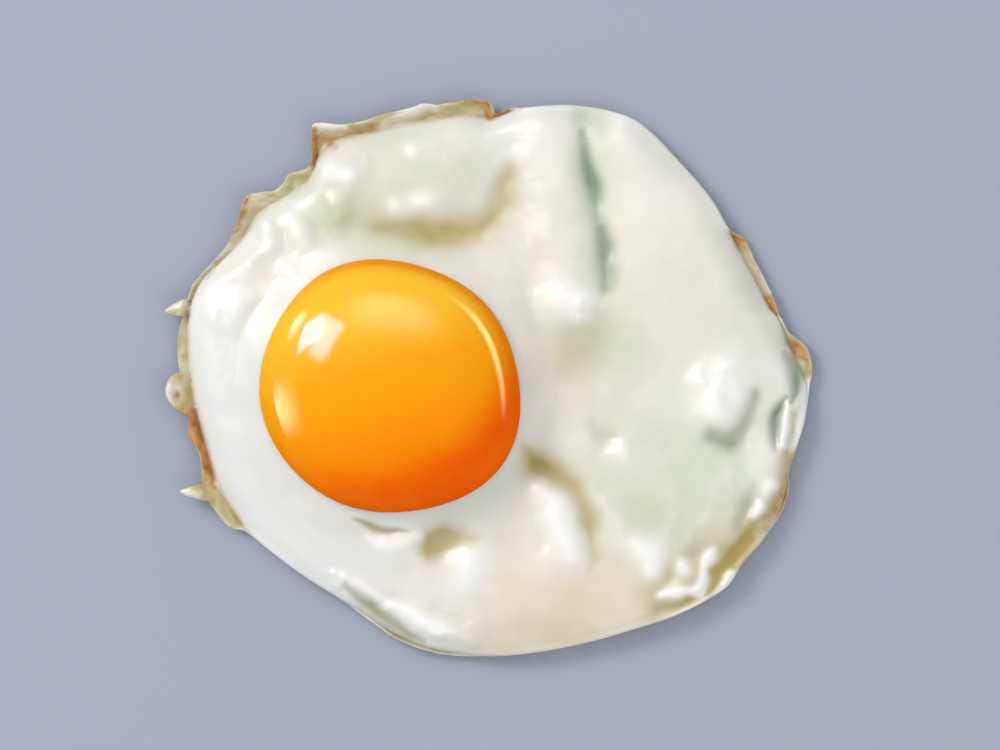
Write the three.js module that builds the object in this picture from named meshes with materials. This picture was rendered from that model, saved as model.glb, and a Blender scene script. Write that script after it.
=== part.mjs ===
// A fried egg, sunny side up: the set white with its crisp, frilled rim, and the whole yolk that sits in it.
// Millimetres, +Z up. The egg lies on its flat underside at z = 0.
// Everything is laid out round the middle of the yolk. The finished egg is then centred on its footprint.

import * as THREE from "three";

// ---------------------------------------------------------------- driving dimensions

// The yolk, a flattened ball. Its lobes are its small departures from round, seen from above.
const YOLK_RADIUS = 20.6;
const YOLK_LOBES = [
  { waves: 2, size: 0.6, towards: -29 },
  { waves: 3, size: 0.27, towards: -26 },
  { waves: 4, size: 0.15, towards: 44 },
  { waves: 5, size: 0.2, towards: -32 },
];
const YOLK_TOP = 18.4;
const YOLK_WAIST = 7.6; // height of its widest part
const YOLK_BASE = 1.9;
const YOLK_CROWN_FULLNESS = 2.2; // exponent of the upper dome: 2 is round, more is fuller
const YOLK_BELLY_FULLNESS = 2.7;
const YOLK_SIDES = 60;
const YOLK_RINGS = 15;

// The white, outside the yolk
const BODY_HEIGHT = 4.7; // general thickness
const COLLAR_RISE = 1.5; // how much thicker it stands against the yolk
const COLLAR_REACH = 7;
const RIM_THICKNESS = 0.8; // of the crisp rim, and of the very edge elsewhere
const YOLK_GAP = 0.3; // between the yolk and its socket
const SOCKET_LIP = 6.2; // height at which the white meets the yolk
const LIP_WIDTH = 4; // over which the relief of the white fades towards the yolk
const RIM_ROOT = 1.6; // how far under the thick white the lifted rim begins
const MOST_CURL = 1.6; // limit on how much further a tongue curls up than the rim does
const TONGUE_ROOT = 3; // how far inside the outline the rings begin to run out into a tongue
const WHITE_SIDES = 144;

// The white's outline: [direction in degrees, distance from the middle of the yolk].
const OUTLINE = [
  [0, 66.6], [6, 66.2], [11, 63.5], [17, 61.6], [24, 60.5], [30, 59.7],
  [38, 58.7], [46.5, 58.2], [50, 57.2], [57.5, 53.6], [66, 49], [71, 49],
  [75, 47.8], [83, 46], [90, 44.1], [100, 42.9], [105.5, 43.8], [109.5, 37.7],
  [115.5, 38], [120, 36.8], [127.5, 38.2], [135, 35.1], [141, 34.4], [153, 35.7],
  [168, 35], [175, 34.2], [186, 32.3], [193, 33.1], [200, 32.5], [211, 34.8],
  [219, 33.9], [230, 32.9], [245, 33.3], [257, 35.1], [265, 37.4], [274, 41.3],
  [280.5, 43.4], [290, 45.8], [303, 50], [316, 55.7], [325, 60.4], [331, 62.2],
  [336, 64], [342, 66.1], [348.5, 65.2], [355, 66.7],
];

// Tongues of crisp white that stand out of the outline: direction, reach, half the width of the foot, and
// a sharpness of 1 for a plain point or less for a blunter one.
const TONGUES = [
  { towards: 1.5, reach: 1.2, width: 1.4, sharpness: 1 },
  { towards: 115.4, reach: 0.7, width: 1.3, sharpness: 0.8 },
  { towards: 160.2, reach: 3, width: 1.7, sharpness: 0.9 },
  { towards: 181, reach: 3.4, width: 2.4, sharpness: 0.4 },
  { towards: 207, reach: 3.8, width: 1.9, sharpness: 0.9 },
];

// Width of the thin crisp rim outside the thick white, and how high its edge curls up.
const RIM_WIDTH = [
  [0, 2], [6, 3], [12, 1.8], [20, 1.9], [25, 0.4], [40, 0], [62, 0], [68, 2], [74, 3],
  [90, 3], [100, 3], [106, 4.6], [112, 1.8], [128, 2.4], [140, 1.5], [152, 1.6], [162, 2.4],
  [172, 2.9], [184, 2.4], [194, 2.2], [206, 2.6], [216, 2.8], [226, 1.2], [234, 0], [256, 0],
  [266, 1.4], [276, 1.8], [288, 0.8], [310, 0.6], [326, 1.3], [340, 1.8], [350, 1.8],
];
const RIM_LIFT = [
  [0, 1.2], [8, 1.6], [20, 1.2], [28, 0.7], [60, 0.7], [68, 1.7], [80, 1.5], [95, 1.6],
  [106, 2.4], [112, 1.4], [128, 2], [145, 1.3], [160, 1.9], [172, 1.2], [182, 2], [195, 1.2],
  [207, 2], [218, 1.2], [232, 0.7], [262, 0.8], [274, 1.2], [300, 0.8], [330, 1], [345, 1.2],
];
// Width of the rounded shoulder where the thick white rises from its rim.
const SHOULDER = [
  [0, 4], [20, 5.5], [45, 5.5], [70, 4.5], [106, 4], [140, 4], [180, 5],
  [225, 5], [260, 3.6], [290, 3.4], [330, 3.6],
];

// How closely the skin's points follow each other round the edge: 1 is loose, on the smooth stretches.
const DETAIL = [
  [0, 1.7], [14, 1.5], [24, 1.9], [52, 1.9], [60, 1.2], [68, 1.8], [80, 1.4], [96, 1.6],
  [106, 2.4], [116, 2.2], [150, 1.7], [160, 2.6], [170, 1.9], [182, 2.6], [194, 1.9],
  [207, 2.6], [218, 1.6], [234, 1], [260, 1.1], [275, 1.4], [295, 1], [320, 1.3], [345, 1.5],
];

// Relief of the thick white: each entry lifts the ground by so much along a path, fading over its width.
// Paths are in millimetres from the middle of the yolk, and one point makes a round bump or dimple.
const RELIEF = [
  // the broad smooth swell on the right, and the hollow between it and the yolk
  { lift: 1.5, width: 15, path: [[42, 26], [46, 14]] },
  { lift: 0.7, width: 10, path: [[44, -14]] },
  { lift: -0.8, width: 4.2, path: [[24.4, -1], [24.8, -12]] },
  // the pillow above the yolk, and the valley that bounds it below and to the right
  { lift: 1, width: 6.5, path: [[-6, 33.5], [8, 33]] },
  {
    lift: -1.5,
    width: 2.3,
    path: [[-2, 25.6], [7.9, 24.9], [12, 24.9], [16, 26.4], [18.3, 29.2], [19.2, 34]],
  },
  { lift: -0.7, width: 2.4, path: [[-13, 27], [-6, 25.4]] },
  // the strap beside it, which ends in a nose, with a soft valley on its left
  { lift: 1.3, width: 3.6, path: [[24, 41], [25.4, 33], [26, 25], [26.8, 17.5]] },
  { lift: -0.6, width: 2.6, path: [[21.5, 24], [23, 12]] },
  // the deep crease between the strap and the swell, and the hollow at its foot
  { lift: -2.5, width: 2.2, path: [[30.8, 39], [31.9, 33.2], [32.6, 29.2], [34.3, 21.2], [34.5, 16.8]] },
  { lift: -1, width: 4, path: [[31.6, 8.6]] },
  // the knob on the right with the crescent under it, and the folds along the right-hand edge
  { lift: 1.2, width: 3.6, path: [[52.4, 0.8]] },
  { lift: -1.1, width: 1.5, path: [[53.4, -8], [56.6, -6.8], [57.8, -2.6]] },
  { lift: 0.8, width: 1.9, path: [[59.6, -2], [59.2, -10], [57.6, -17]] },
  { lift: -1, width: 1.3, path: [[62, 2.6], [61.6, -3], [61.3, -8.6]] },
  // the pocket along the lower right edge, and the bright ridges inside it
  { lift: -1.4, width: 2, path: [[57, -22.4], [54.4, -26], [51.6, -29.4], [45.4, -33.6]] },
  { lift: 0.9, width: 1.5, path: [[50.4, -25.4], [48.8, -30], [43.8, -32]] },
  { lift: 0.6, width: 2.6, path: [[41.6, -26.3]] },
  // the winding wrinkle below and to the right of the yolk, with a ridge on each side
  {
    lift: -1.3,
    width: 1.8,
    path: [[22.6, -11.8], [24.4, -14.4], [27.4, -15.4], [29.8, -17.6], [32.2, -23.6], [32.4, -29.6]],
  },
  { lift: 0.9, width: 2.6, path: [[23.6, -17.4], [27.4, -19], [28, -25.6]] },
  { lift: 0.6, width: 2, path: [[34.4, -19], [36.4, -25]] },
  { lift: 0.7, width: 3, path: [[36.9, -10.6]] },
  // the burst bubble under the yolk with its raised lip, and the little fold beside it
  { lift: 0.5, width: 5.6, path: [[9.8, -26.8]] },
  { lift: -2.4, width: 3.1, path: [[9.6, -26.5]] },
  { lift: -0.9, width: 1.2, path: [[-5, -22], [-0.8, -23.2], [3.4, -23.4]] },
  // the folded lip along the lower left edge, and the low ground behind it
  { lift: -0.9, width: 1.4, path: [[-3, -33.4], [1, -36.4], [5.4, -39]] },
  { lift: 0.7, width: 2.3, path: [[3, -34.4], [8.6, -37.6]] },
  { lift: -0.6, width: 2.8, path: [[17, -39.2], [29, -39.4]] },
  // cobbles on the upper left
  { lift: 0.8, width: 2, path: [[-14.4, 25.4]] },
  { lift: 0.7, width: 1.9, path: [[-20.4, 26.4]] },
  { lift: 0.7, width: 2, path: [[-16, 18.2]] },
  { lift: 0.8, width: 2, path: [[-22.4, 19.8]] },
  { lift: 0.7, width: 2.1, path: [[-24.4, 12.6]] },
  { lift: 0.6, width: 1.9, path: [[-9.4, 34.6]] },
  { lift: 0.6, width: 2, path: [[2.2, 29.6]] },
];

// Rings of the white's skin, as distances in from the outline, then as shares of what is left to the yolk.
const EDGE_STEPS = [0.5, 1.2, 2, 3, 4.2, 5.6];
const FIELD_RINGS = 19;
const SOCKET_RINGS = 4;
const UNDERSIDE_SHARES = [0.72, 0.36];
const UNDERSIDE_EDGE_STEPS = [0.7, 1.6, 3, 5];
const HEIGHT_WEIGHT = 4; // of height against distance, when the cells of a skin are split

const WHITE_LOOK = { color: "#ece9dc", roughness: 0.35, metalness: 0 };
const YOLK_LOOK = { color: "#ffa012", roughness: 0.15, metalness: 0 };

// ---------------------------------------------------------------- small tools

const radians = THREE.MathUtils.degToRad;
const polar = (degrees, distance, z) =>
  new THREE.Vector3(distance * Math.cos(radians(degrees)), distance * Math.sin(radians(degrees)), z);

// A smooth function of direction through [degrees, value] knots, going round and round.
function around(knots) {
  const knot = (i) => {
    const turns = Math.floor(i / knots.length);
    const [degrees, value] = knots[i - turns * knots.length];
    return [degrees + 360 * turns, value];
  };
  const slope = (i) => (knot(i + 1)[1] - knot(i - 1)[1]) / (knot(i + 1)[0] - knot(i - 1)[0]);
  return (degrees) => {
    const wrapped = THREE.MathUtils.euclideanModulo(degrees, 360);
    let i = 0;
    while (knot(i + 1)[0] <= wrapped) i += 1;
    const [from, low] = knot(i);
    const [to, high] = knot(i + 1);
    const span = to - from;
    const t = (wrapped - from) / span;
    const ease = t * t * (3 - 2 * t);
    return low + (high - low) * ease
      + span * (slope(i) * t * (1 - t) ** 2 - slope(i + 1) * t * t * (1 - t));
  };
}

// A closed skin through rings of equal length, listed from the bottom middle, outwards, up and back in.
// Each four-sided cell is split between its nearer pair of corners, where height counts for more than
// distance, so that the triangles run along the folds and not across them.
function skin(bottom, rings, top) {
  const sides = rings[0].length;
  const points = [bottom, ...rings.flat(), top];
  const at = (ring, i) => 1 + ring * sides + (i % sides);
  const apart = (a, b) => Math.hypot(
    points[a].x - points[b].x,
    points[a].y - points[b].y,
    HEIGHT_WEIGHT * (points[a].z - points[b].z),
  );
  const faces = [];
  for (let i = 0; i < sides; i += 1) {
    faces.push(0, at(0, i + 1), at(0, i));
    faces.push(points.length - 1, at(rings.length - 1, i), at(rings.length - 1, i + 1));
    for (let ring = 0; ring + 1 < rings.length; ring += 1) {
      const [a, b, c, d] = [at(ring, i), at(ring, i + 1), at(ring + 1, i + 1), at(ring + 1, i)];
      if (apart(a, c) <= apart(b, d)) faces.push(a, b, c, a, c, d);
      else faces.push(a, b, d, b, c, d);
    }
  }
  const geometry = new THREE.BufferGeometry().setFromPoints(points).setIndex(faces);
  geometry.computeVertexNormals();
  return geometry;
}

// ---------------------------------------------------------------- the yolk

const yolkRadius = (degrees) =>
  YOLK_LOBES.reduce(
    (radius, lobe) => radius + lobe.size * Math.cos(lobe.waves * radians(degrees - lobe.towards)),
    YOLK_RADIUS,
  );

// Share of the full radius that the yolk has at a height.
function yolkFullness(z) {
  const [reach, exponent] = z > YOLK_WAIST
    ? [YOLK_TOP - YOLK_WAIST, YOLK_CROWN_FULLNESS]
    : [YOLK_WAIST - YOLK_BASE, YOLK_BELLY_FULLNESS];
  return Math.max(0, 1 - (Math.abs(z - YOLK_WAIST) / reach) ** exponent) ** (1 / exponent);
}

function yolkGeometry() {
  const directions = Array.from({ length: YOLK_SIDES }, (_, i) => (360 * i) / YOLK_SIDES);
  const rings = Array.from({ length: YOLK_RINGS }, (_, k) => {
    const climb = -Math.cos((Math.PI * (k + 1)) / (YOLK_RINGS + 1));
    const z = YOLK_WAIST + climb * (climb > 0 ? YOLK_TOP - YOLK_WAIST : YOLK_WAIST - YOLK_BASE);
    return directions.map((degrees) => polar(degrees, yolkRadius(degrees) * yolkFullness(z), z));
  });
  return skin(new THREE.Vector3(0, 0, YOLK_BASE), rings, new THREE.Vector3(0, 0, YOLK_TOP));
}

// ---------------------------------------------------------------- the white

const outlineRadius = around(OUTLINE);
const rimWidth = around(RIM_WIDTH);
const rimLift = around(RIM_LIFT);
const shoulder = around(SHOULDER);
const detail = around(DETAIL);

// How far a tongue stands out of the outline in a direction.
function tongueReach(degrees) {
  return TONGUES.reduce((reach, tongue) => {
    const apart = THREE.MathUtils.euclideanModulo(degrees - tongue.towards + 180, 360) - 180;
    const share = Math.max(0, 1 - Math.abs(radians(apart)) * outlineRadius(degrees) / tongue.width);
    return reach + tongue.reach * share ** tongue.sharpness;
  }, 0);
}

// Distance from the middle of the yolk of a ring that is so far in from the edge. The outermost rings run
// out into the tongues, and the others keep to the plain outline.
function ringRadius(degrees, inwards) {
  return outlineRadius(degrees) - inwards + tongueReach(degrees) * Math.max(0, 1 - inwards / TONGUE_ROOT);
}

// Distance from a point to a path of points.
function distanceTo(path, x, y) {
  const [first] = path;
  let least = Math.hypot(x - first[0], y - first[1]);
  for (let i = 0; i + 1 < path.length; i += 1) {
    const [ax, ay] = path[i];
    const [dx, dy] = [path[i + 1][0] - ax, path[i + 1][1] - ay];
    const along = THREE.MathUtils.clamp(((x - ax) * dx + (y - ay) * dy) / (dx * dx + dy * dy), 0, 1);
    least = Math.min(least, Math.hypot(x - ax - along * dx, y - ay - along * dy));
  }
  return least;
}

function relief(x, y) {
  return RELIEF.reduce(
    (z, { lift, width, path }) => z + lift * Math.exp(-((distanceTo(path, x, y) / width) ** 2)),
    0,
  );
}

// Height of the white's underside at a distance from the middle of the yolk: flat but for the lifted rim.
function undersideHeight(degrees, distance) {
  const reach = Math.max(0, rimWidth(degrees)) + RIM_ROOT;
  const share = THREE.MathUtils.clamp(1 - (outlineRadius(degrees) - distance) / reach, 0, MOST_CURL);
  return rimLift(degrees) * share ** 2;
}

// A point of the white's underside, and the one of its upper surface that lies above it.
function lowerPoint(degrees, distance) {
  return polar(degrees, distance, undersideHeight(degrees, distance));
}

function upperPoint(degrees, distance) {
  const point = lowerPoint(degrees, distance);
  const inwards = outlineRadius(degrees) - distance - Math.max(0, rimWidth(degrees));
  const climb = THREE.MathUtils.clamp(inwards / shoulder(degrees), 0, 1);
  const rise = Math.sqrt(1 - (1 - climb) ** 2);
  const fromYolk = distance - yolkRadius(degrees);
  const collar = COLLAR_RISE * Math.exp(-((fromYolk / COLLAR_REACH) ** 2));
  const field = BODY_HEIGHT + collar + relief(point.x, point.y);
  const offTheLip = THREE.MathUtils.smoothstep(fromYolk, YOLK_GAP, LIP_WIDTH);
  const ground = THREE.MathUtils.lerp(SOCKET_LIP, field, offTheLip);
  point.z += RIM_THICKNESS + rise * (ground - RIM_THICKNESS);
  return point;
}

// Directions spread along the edge, closer together where there is more detail.
function edgeDirections() {
  const steps = 3600;
  const reached = [0];
  for (let i = 0; i < steps; i += 1) {
    const degrees = (360 * i) / steps;
    reached.push(reached[i] + outlineRadius(degrees) * detail(degrees));
  }
  const whole = reached[steps];
  return Array.from({ length: WHITE_SIDES }, (_, k) => {
    const i = reached.findIndex((length) => length >= (whole * k) / WHITE_SIDES);
    return (360 * i) / steps;
  });
}

function whiteGeometry() {
  const directions = edgeDirections();
  const rings = [];
  const ring = (point, distance) => {
    rings.push(directions.map((degrees) => point(degrees, distance(degrees))));
  };

  const foot = UNDERSIDE_EDGE_STEPS.at(-1);
  UNDERSIDE_SHARES.toReversed().forEach((share) => {
    ring(lowerPoint, (degrees) => share * ringRadius(degrees, foot));
  });
  UNDERSIDE_EDGE_STEPS.toReversed().concat(0).forEach((inwards) => {
    ring(lowerPoint, (degrees) => ringRadius(degrees, inwards));
  });

  [0, ...EDGE_STEPS].forEach((inwards) => {
    ring(upperPoint, (degrees) => ringRadius(degrees, inwards));
  });
  const lip = (degrees) => yolkRadius(degrees) + YOLK_GAP;
  for (let k = 1; k <= FIELD_RINGS; k += 1) {
    ring(upperPoint, (degrees) =>
      THREE.MathUtils.lerp(ringRadius(degrees, EDGE_STEPS.at(-1)), lip(degrees), k / FIELD_RINGS));
  }

  for (let k = SOCKET_RINGS - 1; k >= 0; k -= 1) {
    const z = YOLK_BASE + (SOCKET_LIP - YOLK_BASE) * ((k + 0.3) / SOCKET_RINGS) ** 2;
    ring((degrees, distance) => polar(degrees, distance, z - YOLK_GAP),
      (degrees) => yolkRadius(degrees) * yolkFullness(z) + YOLK_GAP);
  }
  return skin(new THREE.Vector3(0, 0, 0), rings, new THREE.Vector3(0, 0, YOLK_BASE - YOLK_GAP));
}

// ---------------------------------------------------------------- the egg

function part(name, geometry, look) {
  const mesh = new THREE.Mesh(geometry, new THREE.MeshStandardMaterial(look));
  mesh.name = name;
  return mesh;
}

const egg = new THREE.Group();
egg.name = "fried_egg";
egg.add(part("white", whiteGeometry(), WHITE_LOOK), part("yolk", yolkGeometry(), YOLK_LOOK));

const middle = new THREE.Box3().setFromObject(egg).getCenter(new THREE.Vector3());
egg.position.set(-middle.x, -middle.y, 0);

export default egg;
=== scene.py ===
# A fried egg, sunny side up: the glossy set white with its crisp, browned rim, and the whole yolk in it.
# Shapes are laid out in millimetres round the middle of the yolk, +Z up, with the underside at z = 0.
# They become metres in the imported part's frame when a mesh is made.

from typing import NamedTuple

import bpy
import numpy as np
from mathutils import Matrix, Vector


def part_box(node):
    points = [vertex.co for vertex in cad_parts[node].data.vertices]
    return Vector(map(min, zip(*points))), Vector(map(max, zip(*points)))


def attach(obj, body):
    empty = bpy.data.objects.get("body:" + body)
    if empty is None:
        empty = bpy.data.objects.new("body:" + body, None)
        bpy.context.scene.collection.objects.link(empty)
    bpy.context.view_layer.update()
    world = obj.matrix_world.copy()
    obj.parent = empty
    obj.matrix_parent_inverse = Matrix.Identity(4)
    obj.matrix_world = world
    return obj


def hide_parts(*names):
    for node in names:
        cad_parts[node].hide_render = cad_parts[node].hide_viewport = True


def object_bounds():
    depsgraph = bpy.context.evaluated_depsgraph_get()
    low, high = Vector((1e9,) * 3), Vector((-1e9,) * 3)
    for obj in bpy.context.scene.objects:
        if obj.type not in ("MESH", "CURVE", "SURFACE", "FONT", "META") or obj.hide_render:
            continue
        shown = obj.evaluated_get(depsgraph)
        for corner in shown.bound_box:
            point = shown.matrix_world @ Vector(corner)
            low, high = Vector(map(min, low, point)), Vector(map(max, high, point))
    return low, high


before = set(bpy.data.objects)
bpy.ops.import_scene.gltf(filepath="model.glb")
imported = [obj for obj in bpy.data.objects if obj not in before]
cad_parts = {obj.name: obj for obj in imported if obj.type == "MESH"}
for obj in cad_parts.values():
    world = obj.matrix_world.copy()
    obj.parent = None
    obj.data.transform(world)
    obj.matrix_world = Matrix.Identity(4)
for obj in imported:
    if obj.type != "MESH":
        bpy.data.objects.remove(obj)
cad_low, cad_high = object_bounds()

MM = 0.001

# ---------------------------------------------------------------- driving dimensions, in millimetres

# The yolk, a flattened ball with small departures from round, seen from above
YOLK_RADIUS = 20.6
YOLK_LOBES = [(2, 0.6, -29), (3, 0.27, -26), (4, 0.15, 44), (5, 0.2, -32)]  # waves, size, towards
YOLK_TOP = 18.4
YOLK_WAIST = 7.6
YOLK_BASE = 1.9
YOLK_CROWN_FULLNESS = 2.2
YOLK_BELLY_FULLNESS = 2.7
YOLK_SIDES = 320
YOLK_RINGS = 96

# The white, outside the yolk
BODY_HEIGHT = 4.7
COLLAR_RISE = 1.5  # how much higher it stands round the yolk
COLLAR_REACH = 7.0
SOFT_EDGE = 0.8  # thickness of its edge where that is soft and round
CRISP_EDGE = 0.5  # and where it is crisp
SOCKET_LIP = 8.2  # the lip clings to the yolk, a little above its waist
SOCKET_GAP = -0.05  # the socket reaches a hair into the yolk, so that no slit shows
LIP_WIDTH = 5.0
RIM_ROOT = 1.6  # the crisp rim starts to lift so far inside the thick part
MOST_CURL = 1.08  # the share of its lift grows from 1 at the outline to this out on the tongues
SOFT_WIDTH, CRISP_WIDTH = 0.2, 1.0  # a rim of the first width is still soft, and one of the second is crisp
TONGUE_ROOT = 2.4  # a tongue draws the rings out up to so far inside the edge
TONGUE_RIDGE = 0.7
RIDGE_START, RIDGE_END = -1.0, 0.6  # the ridge rises between these distances from the outline

# Its mesh: points round the edge, half as many round the field inside, and rings from the edge inwards
EDGE_SIDES = 1180
DIRECTION_STEP = 0.02  # degrees, to measure along the edge before it is divided
RIM_RINGS = 10
RIM_CROWDING = 1.4  # above 1, the rings follow each other more closely towards the edge
SHOULDER_RINGS = 14
SHOULDER_CROWDING = 1.6
FIELD_RINGS = 96
SOCKET_STEPS = np.array([2.3, 1.3, 0.3]) / 3  # squared, shares of the way from the yolk's base to its waist
LEAST_RIM_BAND = 0.5  # the rim's rings take up at least so much, also where there is no crisp rim
UNDERSIDE_ROOT = 5.0  # how far inside the edge the underside's outermost flat ring lies
UNDERSIDE_SHARES = [0.3, 0.6, 0.85, 1.0]  # its flat rings, as shares of that ring's distance
SHARPEST_BEND = np.radians(65)  # an edge that bends more is shaded as a sharp one

# Noise, in layers: how strong, how wide its bumps are, and the seed
BITES = [(0.16, 2.6, 11), (0.1, 1.1, 12)]  # out of the crisp edge
RIM_RUFFLE = [(0.35, 3.1, 21), (0.2, 1.7, 22)]
SHIFT_X = [(0.4, 4.3, 31), (0.2, 1.9, 32)]  # of the folds' places
SHIFT_Y = [(0.4, 4.3, 33), (0.2, 1.9, 34)]
GROUND_WAVES = [(0.14, 6.5, 35), (0.08, 2.9, 36), (0.03, 1.1, 37)]
LIP_UNEVENNESS = [(0.3, 6.0, 38)]  # as a share of its width
RIM_WANDER = [(0.2, 2.2, 41)]  # of the border of the rim's colour

# Fine folds that run along the rim: how strong, how fast they change along it, how wide, and the seed
STREAKS = [(0.6, 0.22, 0.9, 51), (0.4, 0.3, 0.5, 52)]
STREAK_SLANT = 0.22
STREAK_LIFT = 0.25
CRISP_LIFT = 0.35  # what crispness adds to the rim's lift at the outline
RIM_DISTANCE = 42  # from the middle of the yolk, roughly

# Round the yolk, by direction in degrees: where the white ends, and where its thick part does, which leaves
# the thin crisp rim between the two
OUTLINE = [
    (0, 67.1), (2, 67.6), (4.8, 67.3), (6.2, 66.4), (7.8, 64.6), (10, 63.6), (13, 63.1), (16, 62.5),
    (19.5, 61.8), (23, 61.5), (25, 59.9), (30, 59.6), (38, 58.7), (46.5, 58.2), (50, 57.2), (57.5, 53.6),
    (62, 51), (65, 49.4), (67, 48.6), (69, 47), (70.6, 48.5), (72.6, 48.2), (75, 47.7), (80, 46.2),
    (83.2, 45.9), (86, 45), (90, 44.1), (95, 43.2), (100, 42.9), (105, 43.9), (106.8, 43.7), (107.9, 41.5),
    (108.8, 39.2), (110.4, 37.9), (115.6, 37.9), (117.6, 37.2), (120.5, 36.7), (123, 37.5), (126.5, 38.4),
    (128.4, 38), (132.7, 36.3), (137, 35.1), (141, 34.7), (147, 35.2), (153, 35.8), (160, 35.3), (168, 35),
    (175, 34.1), (186, 32.7), (193, 33.3), (200, 32.6), (208, 34), (214, 34.5), (221.5, 34.1), (224.6, 32.8),
    (233, 32.5), (245, 33.2), (257, 34.9), (265, 37.6), (272, 40.6), (280, 43.3), (290, 45.8), (303, 49.8),
    (314, 54.3), (320.5, 57.9), (326, 60.9), (329.6, 62.6), (333.5, 63), (338.3, 64.6), (342.3, 65.7),
    (345.4, 65.9), (347.8, 65.3), (351, 65.6), (355.5, 66.5),
]
BODY_EDGE = [
    (0, 66.5), (2, 65.9), (4, 64.7), (6.4, 64), (10, 63), (12, 62), (14, 61.3), (17, 60.6), (21, 59.9),
    (24, 59.8), (27, 60.2), (38, 59.2), (46.5, 58.7), (50, 57.7), (57.5, 54.1), (62, 51.5), (64.5, 49.9),
    (66.7, 48), (70, 45.9), (75, 45.1), (79, 43.9), (84.3, 42.6), (90.8, 41.4), (96, 41), (101.4, 40.6),
    (104.8, 39.8), (107.7, 38.6), (109.5, 36.9), (113.3, 35.4), (120.6, 34.9), (125.2, 34.8), (128.8, 34.5),
    (132.4, 33.9), (136.6, 33.5), (141, 33.6), (150, 34.7), (156, 34.8), (164.2, 33.8), (173, 32.5),
    (181, 31.7), (188.7, 31.3), (196.7, 31.1), (204.8, 31.5), (212, 31.8), (219, 32), (225, 32.5),
    (230, 33), (245, 33.7), (257, 35.1), (262, 36), (268, 38.2), (276, 41.3), (284, 43.8), (292, 46.6),
    (303, 50.4), (314, 54.9), (320.5, 58.5), (326, 61.4), (329.6, 63), (333.5, 63.4), (338.3, 64.7),
    (342.3, 65.3), (345.4, 65.4), (347.8, 65.2), (351, 65.7), (355.5, 66.6),
]
# How high the crisp rim curls up at the outline, and how far inwards the thick part's shoulder climbs
RIM_LIFT = [
    (0, 1.2), (8, 1.6), (20, 1.2), (28, 0.7), (60, 0.7), (68, 1.7), (80, 1.5), (95, 1.6),
    (106, 2.4), (112, 1.4), (128, 2), (145, 1.3), (160, 1.9), (172, 1.2), (182, 2), (195, 1.2),
    (207, 2), (218, 1.2), (232, 0.7), (262, 0.8), (274, 1.2), (300, 0.8), (330, 1), (345, 1.2),
]
SHOULDER = [
    (0, 4), (20, 5.5), (45, 6.5), (70, 4.5), (106, 4), (140, 4), (180, 5),
    (225, 5), (260, 3.6), (290, 3.4), (330, 3.4),
]

# How closely the mesh's points follow each other round the edge: 1 is loose, on the smooth stretches
DETAIL = [
    (0, 2), (14, 1.6), (24, 1.9), (34, 1.2), (52, 1.2), (60, 1.3), (68, 2.2), (80, 1.6), (96, 1.6),
    (106, 2.6), (116, 2.2), (150, 1.7), (160, 2.6), (170, 1.9), (182, 2.6), (194, 1.9),
    (207, 2.6), (218, 1.6), (234, 1), (260, 1.1), (275, 1.4), (295, 1), (320, 1.3), (345, 1.5),
]


class Tongue(NamedTuple):
    """Crisp white that stands out of the outline: direction, reach, half the foot, lean, and how round."""

    towards: float
    reach: float
    width: float
    lean: float
    power: float
    bluntness: float


TONGUES = [
    Tongue(158.7, 2.9, 1.5, 0.6, 1.5, 0.85),
    Tongue(181.7, 2.9, 3.4, 0.0, 2.0, 0.6),
    Tongue(209.6, 3.6, 1.4, -0.62, 1.5, 0.85),
]


class Fold(NamedTuple):
    """Lifts the ground by so much along a smooth path, fading over its width, and may paint shade into its
    hollow (khaki, green) and a highlight onto its crest (pale).

    A path's point is x, y and, if it isn't 1, its share of the lift and width. The edge is how
    square the fading is: 2 is a soft swell, less is more pointed and more is flatter on top.
    """

    lift: float
    width: float
    path: list
    # painted shade in the fold's hollow (khaki, green) and a painted highlight on its crest (pale)
    khaki: float = 0.0
    green: float = 0.0
    pale: float = 0.0
    edge: float = 2.0
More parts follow.
